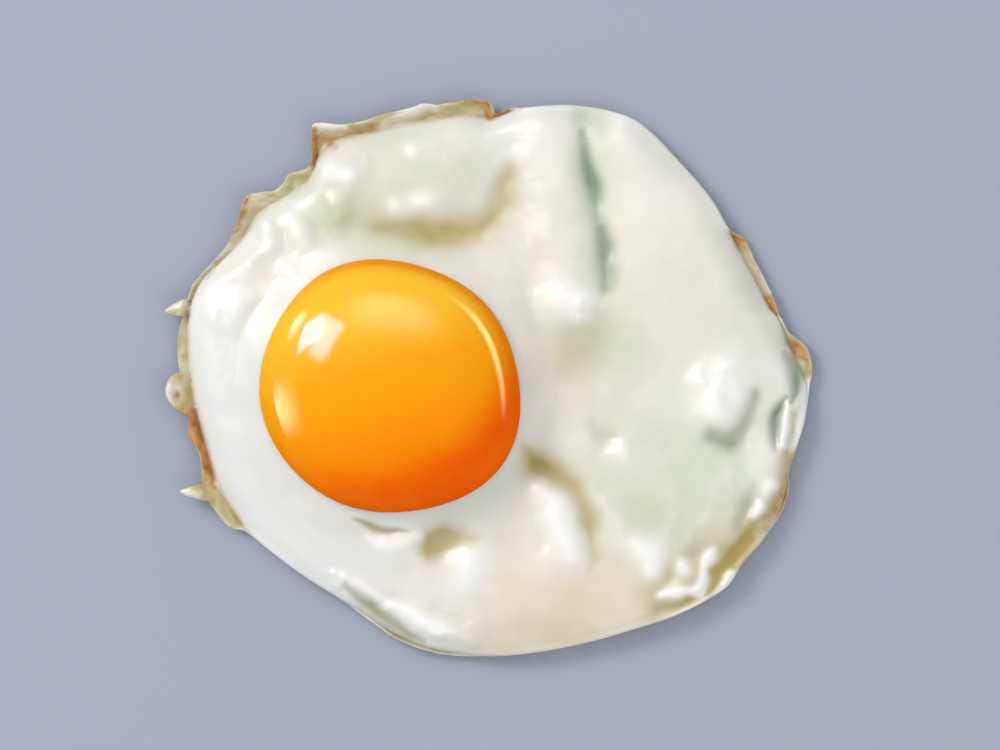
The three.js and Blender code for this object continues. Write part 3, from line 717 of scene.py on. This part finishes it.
def upper_side(degrees, distance):
    """Points of the upper side: the shoulder climbs to the ground, and the lip from there to the yolk."""
    x, y = place(degrees, distance)
    climb = np.clip((body_edge(degrees) - distance) / shoulder(degrees), 0, 1)
    rise = np.sqrt(1 - (1 - climb) ** 2)
    from_yolk = distance - yolk_radius(degrees)
    ground = BODY_HEIGHT + COLLAR_RISE * np.exp(-((from_yolk / COLLAR_REACH) ** 2)) + relief(x, y)
    lip_width = LIP_WIDTH * (1 + layered(x, y, LIP_UNEVENNESS))
    ground = SOCKET_LIP + (ground - SOCKET_LIP) * np.sqrt(smoothstep(from_yolk, SOCKET_GAP, lip_width))
    full, thick = edge_thickness(degrees, distance)
    z = underside_height(degrees, distance, x, y) + 0.5 * (full + thick) + rise * (ground - full)
    outside = smoothstep(distance - outline_radius(degrees), RIDGE_START, RIDGE_END)
    for tongue, apart, reach in tongue_shares(degrees):
        z = z + TONGUE_RIDGE * outside * (1 - apart) * np.minimum(1, thick / full)
    return np.stack([x, y, z], -1)


def lower_side(degrees, distance):
    x, y = place(degrees, distance)
    full, thick = edge_thickness(degrees, distance)
    z = underside_height(degrees, distance, x, y) + 0.5 * (full - thick)
    return np.stack([x, y, z], -1)


def socket_radius(degrees, z):
    return yolk_radius(degrees) * yolk_fullness(z) + SOCKET_GAP


def white_shape():
    """Points, faces, tints and painted light of the white, in rings from the underside's middle round to the
    socket's.
    """
    edge = edge_directions()
    field = edge[::2]

    # the upper side: the rim, the shoulder, and the field from there to the yolk
    width = np.maximum(rim_width(edge), LEAST_RIM_BAND)
    rim_steps = np.arange(RIM_RINGS) / (RIM_RINGS - 1)
    shoulder_steps = np.arange(1, SHOULDER_RINGS + 1) / SHOULDER_RINGS
    depths = [width * step**RIM_CROWDING for step in rim_steps]
    depths += [width + shoulder(edge) * step**SHOULDER_CROWDING for step in shoulder_steps]
    upper = [(edge, ring_radius(edge, depth)) for depth in depths]
    outer, lip = upper[-1][1][::2], socket_radius(field, SOCKET_LIP)
    for step in range(FIELD_RINGS):
        upper.append((field, outer + (lip - outer) * (step + 1) / FIELD_RINGS))

    # the underside: its flat rings, and every other ring of the rim
    root = ring_radius(field, UNDERSIDE_ROOT)
    lower = [(field, root * share) for share in UNDERSIDE_SHARES]
    lower += [(edge, ring_radius(edge, depth)) for depth in depths[RIM_RINGS - 1:0:-2]]

    rings = [lower_side(degrees, distance) for degrees, distance in lower]
    rings += [upper_side(degrees, distance) for degrees, distance in upper]
    for z in YOLK_BASE + (YOLK_WAIST - YOLK_BASE) * SOCKET_STEPS**2:
        rings.append(flat_ring(field, socket_radius(field, z), z))
    points, faces = closed_skin(rings, (0, 0, 0), (0, 0, YOLK_BASE))

    # each point's direction and whether it is on the underside; the last two are the middles of both ends
    directions = [degrees for degrees, distance in lower + upper] + [field] * len(SOCKET_STEPS) + [[0, 0]]
    under = np.zeros(len(points))
    under[:sum(len(degrees) for degrees, distance in lower)] = 1
    under[-2] = 1
    return points, faces, white_tints_and_painted_light(points[:, 0], points[:, 1], np.concatenate(directions), under)


def white_tints_and_painted_light(x, y, degrees, under):
    """How much of each tint, painted shade and painted highlight there is at each point of the white, and
    where its rim and underside are.
    """
    shifted = waver(x, y)
    tints_and_painted_light = {kind: np.zeros(len(x)) for kind in ("cool", "sage", "warm", "green", "khaki", "pale", "toast")}
    for fold in FOLDS:
        if fold.khaki or fold.green or fold.pale:
            here = near(fold.path, fold.width * PAINTED_LIGHT_SPREAD, *shifted, fold.edge)
            tints_and_painted_light["khaki"] += fold.khaki * here
            tints_and_painted_light["green"] += fold.green * here
            tints_and_painted_light["pale"] += fold.pale * here
    for kind, strength, width, path in TINTS_AND_PAINTED_LIGHT:
        tints_and_painted_light[kind] = np.maximum(tints_and_painted_light[kind], strength * near(path, width, x, y))

    distance = np.hypot(x, y)
    beyond = distance - body_edge(degrees) + layered(x, y, RIM_WANDER)
    tints_and_painted_light["rim"] = crispness(degrees) * smoothstep(beyond, -RIM_BLEND, RIM_BLEND)
    tints_and_painted_light["streak"] = 0.5 + 0.5 * streaks(degrees, outline_radius(degrees) - distance)
    tints_and_painted_light["under"] = under
    return tints_and_painted_light


# ---------------------------------------------------------------- materials


class Nodes:
    """The node tree of a material, a lamp or the world, with short ways to add to it."""

    def __init__(self, owner):
        owner.use_nodes = True
        self.tree = owner.node_tree

    def add(self, kind, inputs=None, **settings):
        node = self.tree.nodes.new(kind)
        for name, value in settings.items():
            setattr(node, name, value)
        for name, value in (inputs or {}).items():
            self.put(node.inputs[name], value)
        return node

    def put(self, socket, value):
        """Links an output to a socket, or sets the socket to a plain value."""
        if isinstance(value, bpy.types.NodeSocket):
            self.tree.links.new(value, socket)
        else:
            socket.default_value = value

    def place(self):
        return self.add("ShaderNodeTexCoord").outputs["Object"]

    def attribute(self, name):
        return self.add("ShaderNodeAttribute", attribute_name=name).outputs["Fac"]

    def math(self, operation, *values):
        node = self.add("ShaderNodeMath", operation=operation)
        for socket, value in zip(node.inputs, values):
            self.put(socket, value)
        return node.outputs[0]

    def noise(self, size, detail, roughness=0.5):
        """Noise whose bumps are about size millimetres across."""
        inputs = {"Vector": self.place(), "Scale": 1 / (size * MM), "Detail": detail, "Roughness": roughness}
        return self.add("ShaderNodeTexNoise", inputs).outputs["Fac"]

    def ramp(self, value, low, high, to_low=0.0, to_high=1.0):
        inputs = {"Value": value, "From Min": low, "From Max": high, "To Min": to_low, "To Max": to_high}
        return self.add("ShaderNodeMapRange", inputs, interpolation_type="SMOOTHSTEP").outputs[0]

    def mix(self, share, first, second):
        node = self.add("ShaderNodeMix", data_type="RGBA", clamp_factor=True)
        for socket, value in zip((node.inputs[0], node.inputs[6], node.inputs[7]), (share, first, second)):
            self.put(socket, value)
        return node.outputs[2]

    def bump(self, height, depth, normal=None):
        """Bump of a height field from 0 to 1, so many millimetres deep."""
        inputs = {"Height": height, "Distance": depth * MM, "Strength": 1.0}
        if normal is not None:
            inputs["Normal"] = normal
        return self.add("ShaderNodeBump", inputs).outputs[0]

    def set(self, node, **values):
        """Sets the inputs of a node that is there already, with underscores for the spaces in their names."""
        for name, value in values.items():
            self.put(self.tree.nodes[node].inputs[name.replace("_", " ")], value)


def yolk_material(middle):
    material = bpy.data.materials.new("egg_yolk")
    n = Nodes(material)
    parts = n.add("ShaderNodeSeparateXYZ", {"Vector": n.place()}).outputs
    right = n.math("SUBTRACT", parts["X"], float(middle[0]))
    down = n.math("SUBTRACT", float(middle[1]), parts["Y"])
    painted_shade_fall = n.math("ADD", n.math("MULTIPLY", right, 0.25), n.math("MULTIPLY", down, 0.95))

    # painted shade: yellow at the upper end of the picture, towards the lamps, and deeper orange lower down,
    # away from them
    body = n.mix(n.ramp(painted_shade_fall, -14 * MM, 0 * MM), colour("#ffc236"), colour("#ffa50c"))
    body = n.mix(n.ramp(painted_shade_fall, -1 * MM, 9 * MM), body, colour("#ff9406"))
    body = n.mix(n.ramp(painted_shade_fall, 7 * MM, 17 * MM), body, colour("#ff7400"))
    # painted shade: orange where the upper and right-hand sides turn down, most on the right-hand side, away
    # from the lamps
    turned = n.ramp(parts["Z"], 10 * MM, 13.6 * MM, 1.0, 0.0)
    sideways = n.math("SUBTRACT", right, n.math("MULTIPLY", down, 0.4))
    side = n.math("MULTIPLY", turned, n.ramp(sideways, -16 * MM, 6 * MM, 0.2, 0.9))
    body = n.mix(side, body, colour("#f88400"))
    # painted shade: deepest far from a lit place up and to the left of the middle, and reddest at the foot
    # there
    far_x, far_y = n.math("ADD", right, 4 * MM), n.math("ADD", down, 9 * MM)
    far = n.math("SQRT", n.math("ADD", n.math("MULTIPLY", far_x, far_x), n.math("MULTIPLY", far_y, far_y)))
    deep = n.math("MULTIPLY", n.ramp(far, 20 * MM, 27 * MM), n.ramp(right, -15 * MM, 2 * MM, 0.3, 1.0))
    body = n.mix(deep, body, colour("#fa6000"))
    foot = n.math("MULTIPLY", n.ramp(parts["Z"], 8 * MM, 11 * MM, 1.0, 0.0), n.ramp(far, 25 * MM, 29 * MM))
    body = n.mix(n.math("MULTIPLY", foot, 0.7), body, colour("#f84600"))
    # faint lighter clouds
    body = n.mix(n.ramp(n.noise(9, 3), 0.45, 0.8, 0, 0.12), body, colour("#ffb420"))
    n.set(
        "Principled BSDF",
        Base_Color=body,
        Roughness=0.35,
        Specular_IOR_Level=0.0,
        Subsurface_Weight=0.45,
        Subsurface_Radius=(1.0, 0.25, 0.03),
        Subsurface_Scale=3.4 * MM,
        Coat_Weight=n.ramp(parts["Z"], 11 * MM, 13.4 * MM, 0.04, 0.45),
        Coat_Roughness=0.07,
        Coat_IOR=1.3,
        Normal=n.bump(n.noise(3.5, 2), 0.05),
    )
    return material


def white_material():
    material = bpy.data.materials.new("egg_white")
    n = Nodes(material)
    cloud = n.noise(7, 3)
    speckle = n.noise(1.4, 3, 0.6)

    def tint_or_painted_light(name):
        """One of the mesh's tints, painted shades and painted highlights, a little uneven."""
        uneven = n.math("MULTIPLY", n.attribute(name), n.ramp(cloud, 0.3, 0.7, 0.85, 1.15))
        return n.math("MINIMUM", uneven, 1.0)

    body = n.mix(n.ramp(cloud, 0.36, 0.66, 0, 0.7), colour("#ebe8df"), colour("#dfe0d2"))
    # cool and sage: greyish and greenish tints, partly painted shade, such as the yolk's shadow on the white;
    # warm is a beige tone
    body = n.mix(tint_or_painted_light("cool"), body, colour("#e3e6e5"))
    body = n.mix(tint_or_painted_light("sage"), body, colour("#d0dbbf"))
    body = n.mix(tint_or_painted_light("warm"), body, colour("#ead9bf"))
    rim = n.mix(n.ramp(n.attribute("streak"), 0.2, 0.8), colour("#b9aa72"), colour("#ddd6ba"))
    body = n.mix(n.attribute("rim"), body, rim)
    # green and khaki: painted shade in creases, hollows and valleys, with some of the white's own olive and
    # brownish tint
    body = n.mix(tint_or_painted_light("green"), body, colour("#7e9173"))
    body = n.mix(tint_or_painted_light("khaki"), body, colour("#b7a45a"))
    # pale: painted highlights on crests, bumps and tips, partly a whiter tone there
    body = n.mix(n.attribute("pale"), body, colour("#faf8f2"))
    brown = n.mix(n.ramp(speckle, 0.35, 0.65), colour("#d09c5e"), colour("#ae7a42"))
    toasted = n.ramp(n.math("ADD", n.attribute("toast"), n.ramp(speckle, 0.3, 0.7, -0.08, 0.08)), 0.08, 0.9)
    body = n.mix(toasted, body, brown)
    # the underside, softly and unevenly browned by the pan
    broad, fine = n.math("MULTIPLY", n.noise(11, 3), 0.65), n.math("MULTIPLY", n.noise(2.6, 4, 0.6), 0.35)
    seared = n.mix(n.ramp(n.math("ADD", broad, fine), 0.4, 0.64), colour("#ebe2cb"), colour("#cfa668"))
    body = n.mix(n.math("MULTIPLY", n.attribute("under"), 0.85), body, seared)

    crisp = n.math("MAXIMUM", n.attribute("rim"), n.attribute("under"))
    pores = n.bump(n.noise(0.45, 2), 0.012)
    n.set(
        "Principled BSDF",
        Base_Color=body,
        Roughness=n.ramp(speckle, 0.3, 0.7, 0.42, 0.55),
        Specular_IOR_Level=0.35,
        Subsurface_Weight=0.45,
        Subsurface_Radius=(1.0, 0.9, 0.7),
        Subsurface_Scale=1.6 * MM,
        Coat_Weight=n.ramp(crisp, 0.0, 1.0, 0.75, 0.4),
        Coat_Roughness=0.35,
        Coat_IOR=1.45,
        Normal=n.bump(n.noise(2.6, 3), 0.05, pores),
    )
    return material


def floor_material():
    material = bpy.data.materials.new("floor")
    Nodes(material).set("Principled BSDF", Base_Color=colour("#a4abbc"), Roughness=0.6)
    return material


# ---------------------------------------------------------------- pieces


def make_mesh(name, points, faces, shift, material, tints_and_painted_light=None):
    """A smooth mesh object in metres, kept inside the solids' box."""
    placed = np.clip((points + shift) * MM, np.array(cad_low), np.array(cad_high))
    mesh = bpy.data.meshes.new(name)
    mesh.from_pydata(placed.tolist(), [], faces)
    mesh.polygons.foreach_set("use_smooth", [True] * len(mesh.polygons))
    mesh.set_sharp_from_angle(angle=SHARPEST_BEND)
    for kind, values in (tints_and_painted_light or {}).items():
        layer = mesh.attributes.new(kind, "FLOAT", "POINT")
        layer.data.foreach_set("value", np.clip(values, 0, 1).astype(np.float32))
    mesh.materials.append(material)
    piece = bpy.data.objects.new(name, mesh)
    bpy.context.scene.collection.objects.link(piece)
    return piece


def make_egg():
    """Makes both pieces. Returns them by node, and the middle of the yolk in the part's frame."""
    yolk_points, yolk_faces = yolk_shape()
    low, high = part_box("yolk")
    middle = (yolk_points.min(0) + yolk_points.max(0)) / 2
    shift = np.array((low + high) / 2) / MM - middle
    shift[2] = 0

    yolk = make_mesh("yolk_look", yolk_points, yolk_faces, shift, yolk_material(shift * MM))
    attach(yolk, "root")
    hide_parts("yolk")

    white_points, white_faces, tints_and_painted_light = white_shape()
    white = make_mesh("white_look", white_points, white_faces, shift, white_material(), tints_and_painted_light)
    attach(white, "root")
    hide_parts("white")
    return {"yolk": yolk, "white": white}, Vector(shift) * MM


# ---------------------------------------------------------------- stage, lights and camera, in metres

FLOOR_SIZE = 6.0
CAMERA_HEIGHT = 1.6
PICTURE_WIDTH = 0.160  # what the picture's 1000 pixels span at the height of the egg
PICTURE_MIDDLE = Vector((0.0175, 0.0020, 0.003))  # from the middle of the yolk
SENSOR_WIDTH = 36.0  # in millimetres, as the lens is
ROOM_LIGHT = 0.9
ROOM_GLOSS = 0.25
LAMP_DISTANCE = 0.9


class Light(NamedTuple):
    """A soft rectangular lamp: the way to it from the egg, its size, its brightness and its use.

    Brightness is what the lamp's face shows, where 1 is plain white. A lamp lights the whole scene,
    or it is seen only in the wet film of one piece. Softness is the share of its face over which it
    fades out towards its border, and spin turns it in degrees.
    """

    name: str
    azimuth: float
    zenith: float
    size: tuple
    brightness: float
    gloss_of: str = ""
    softness: float = 0.1
    spin: float = 0.0
    tint: str = "#fffcf8"


LIGHTS = [
    Light("key", 144, 46, (0.42, 0.42), 12.5, softness=0.6),
    Light("fill", -40, 50, (0.8, 0.8), 0.8, softness=0.6),
    Light("glow", 142, 46, (0.6, 0.6), 32, "white", 1.0),
    Light("window_left", 146.5, 57, (0.3, 0.35), 105, "yolk", 0.3, 38, "#ffb8ea"),
    Light("window_right", 144, 41.5, (0.38, 0.33), 90, "yolk", 0.55, 8, "#ffb8dc"),
    Light("sky", 88, 41, (1.0, 0.8), 27, "yolk", 1.0, tint="#fff0cc"),
    Light("strip_right", 25, 83, (1.35, 0.28), 76, "yolk", 0.9, tint="#ffdca0"),
    Light("strip_left", 192, 79, (0.65, 1.1), 56, "yolk", 1.0, tint="#fff0c8"),
    Light("strip_upper_left", 148, 83, (0.28, 0.42), 70, "yolk", 1.0, tint="#ffe4ec"),
]


def make_stage():
    bpy.ops.mesh.primitive_plane_add(size=FLOOR_SIZE, location=(0, 0, 0))
    floor = bpy.context.object
    floor.name = "floor"
    floor.data.materials.append(floor_material())

    # an even room, which shows more weakly in the gloss than it lights
    world = bpy.data.worlds.new("studio")
    n = Nodes(world)
    in_gloss = n.add("ShaderNodeLightPath").outputs["Is Glossy Ray"]
    n.set("Background", Color=colour("#e9ebf0"), Strength=n.ramp(in_gloss, 0, 1, ROOM_LIGHT, ROOM_GLOSS))
    bpy.context.scene.world = world


def make_light(light, target, pieces):
    azimuth, zenith = np.radians([light.azimuth, light.zenith])
    way = Vector((np.cos(azimuth) * np.sin(zenith), np.sin(azimuth) * np.sin(zenith), np.cos(zenith)))
    data = bpy.data.lights.new(light.name, "AREA")
    data.shape = "RECTANGLE"
    data.size, data.size_y = light.size
    data.energy = light.brightness * np.pi * light.size[0] * light.size[1]
    data.color = colour(light.tint)[:3]
    fade_out(data, light.softness)
    lamp = bpy.data.objects.new(light.name, data)
    lamp.location = target + way * LAMP_DISTANCE
    facing = way.to_track_quat("Z", "Y").to_matrix()
    lamp.rotation_euler = (facing @ Matrix.Rotation(np.radians(light.spin), 3, "Z")).to_euler()
    lamp.visible_camera = False
    lamp.visible_diffuse = not light.gloss_of
    lamp.visible_glossy = bool(light.gloss_of)
    if light.gloss_of:
        receivers = bpy.data.collections.new(light.name)
        receivers.objects.link(pieces[light.gloss_of])
        lamp.light_linking.receiver_collection = receivers
    bpy.context.scene.collection.objects.link(lamp)


def fade_out(data, softness):
    """Lets a lamp's face fade towards its border."""
    n = Nodes(data)
    face = n.add("ShaderNodeNewGeometry").outputs["Parametric"]
    parts = n.add("ShaderNodeSeparateXYZ", {"Vector": face}).outputs
    fades = []
    for axis in "XY":
        off_middle = n.math("ABSOLUTE", n.math("SUBTRACT", parts[axis], 0.5))
        fades.append(n.ramp(off_middle, 0.5 * (1 - softness), 0.5, 1.0, 0.0))
    n.set("Emission", Strength=n.math("MULTIPLY", *fades))


def make_camera(yolk_middle):
    data = bpy.data.cameras.new("camera")
    data.sensor_width = SENSOR_WIDTH
    data.lens = SENSOR_WIDTH * CAMERA_HEIGHT / PICTURE_WIDTH
    camera = bpy.data.objects.new("camera", data)
    camera.location = yolk_middle + PICTURE_MIDDLE + Vector((0, 0, CAMERA_HEIGHT))
    bpy.context.scene.collection.objects.link(camera)
    bpy.context.scene.camera = camera


pieces, yolk_middle = make_egg()
make_stage()
for light in LIGHTS:
    make_light(light, yolk_middle, pieces)
make_camera(yolk_middle)
bpy.context.scene.view_settings.view_transform = "Standard"
